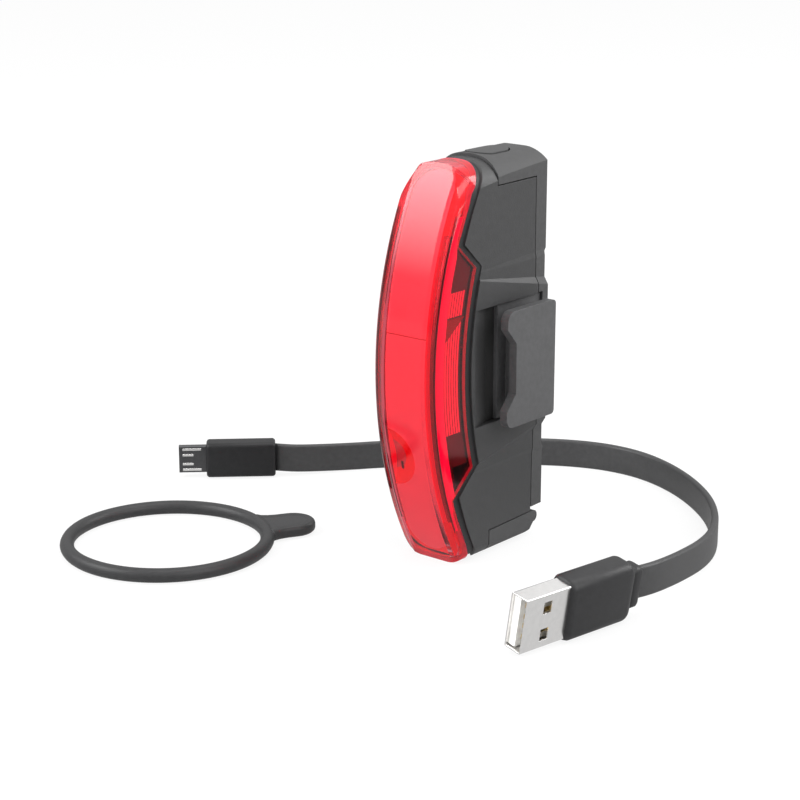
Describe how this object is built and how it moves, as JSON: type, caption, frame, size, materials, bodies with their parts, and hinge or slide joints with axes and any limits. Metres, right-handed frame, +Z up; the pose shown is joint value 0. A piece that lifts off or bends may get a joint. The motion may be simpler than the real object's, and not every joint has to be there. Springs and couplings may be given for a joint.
{
  "type": "bicycle rear light",
  "caption": "Slim rechargeable bicycle rear light with a red lens, rubber rear saddle, side hooks and port flap, with its loose strap ring and flat charging lead.",
  "frame": {"origin": "middle of the flat foot of the light, on the surface that it stands on", "axes": "+Z up along the light, the lens faces -Y, the saddle for the seat post faces +Y"},
  "size_m": [0.1414, 0.134, 0.0892],
  "materials": {
    "lens_red": "clear gloss",
    "bar_frost": "frosted",
    "led_amber": "gloss",
    "board_white": "matt",
    "reflector_grey": "satin metallised",
    "seal_black": "matt",
    "housing_black": "fine matt grain",
    "bracket_dark": "satin",
    "rubber_black": "matt",
    "steel": "satin",
    "nickel": "polished",
    "board_green": "satin",
    "chip_black": "matt",
    "foil": "satin",
    "wire_red": "gloss",
    "ivory": "satin",
    "contact_gold": "polished"
  },
  "bodies": {
    "light": {"lens": "lens_red", "light_bar": "bar_frost", "led_line": "led_amber", "led_board": "board_white", "charge_led": "chip_black", "reflector": "reflector_grey", "lens_seal": "seal_black", "housing": "housing_black", "hook_bracket": "bracket_dark", "bracket_screws": "steel", "rear_boot": "rubber_black", "main_board": "board_green", "board_chips": "chip_black", "battery": "foil", "battery_leads": "wire_red", "led_wires": "wire_red", "tact_switch": "chip_black", "switch_plunger": "ivory", "charge_socket": "steel", "socket_tongue": "chip_black", "strap_ring": "rubber_black", "flat_cable": "rubber_black", "micro_grip": "rubber_black", "micro_shell": "steel", "micro_tongue": "chip_black", "micro_latches": "steel", "usb_relief": "rubber_black", "usb_grip": "rubber_black", "usb_shell": "nickel", "usb_insulator": "ivory", "usb_contacts": "contact_gold"},
    "button": {"power_button": "rubber_black"},
    "flap": {"port_flap": "rubber_black"}
  },
  "joints": [
    {"name": "button_press", "type": "slide", "parent": "light", "child": "button", "axis": [0, 0, -1], "range_m": [0, 0.0005], "stiffness_N_per_m": 400},
    {"name": "flap_hinge", "type": "hinge", "parent": "light", "child": "flap", "pos_m": [0, 0.0008, 0.0027], "axis": [-1, 0, 0], "range_deg": [0, 75]}
  ]
}
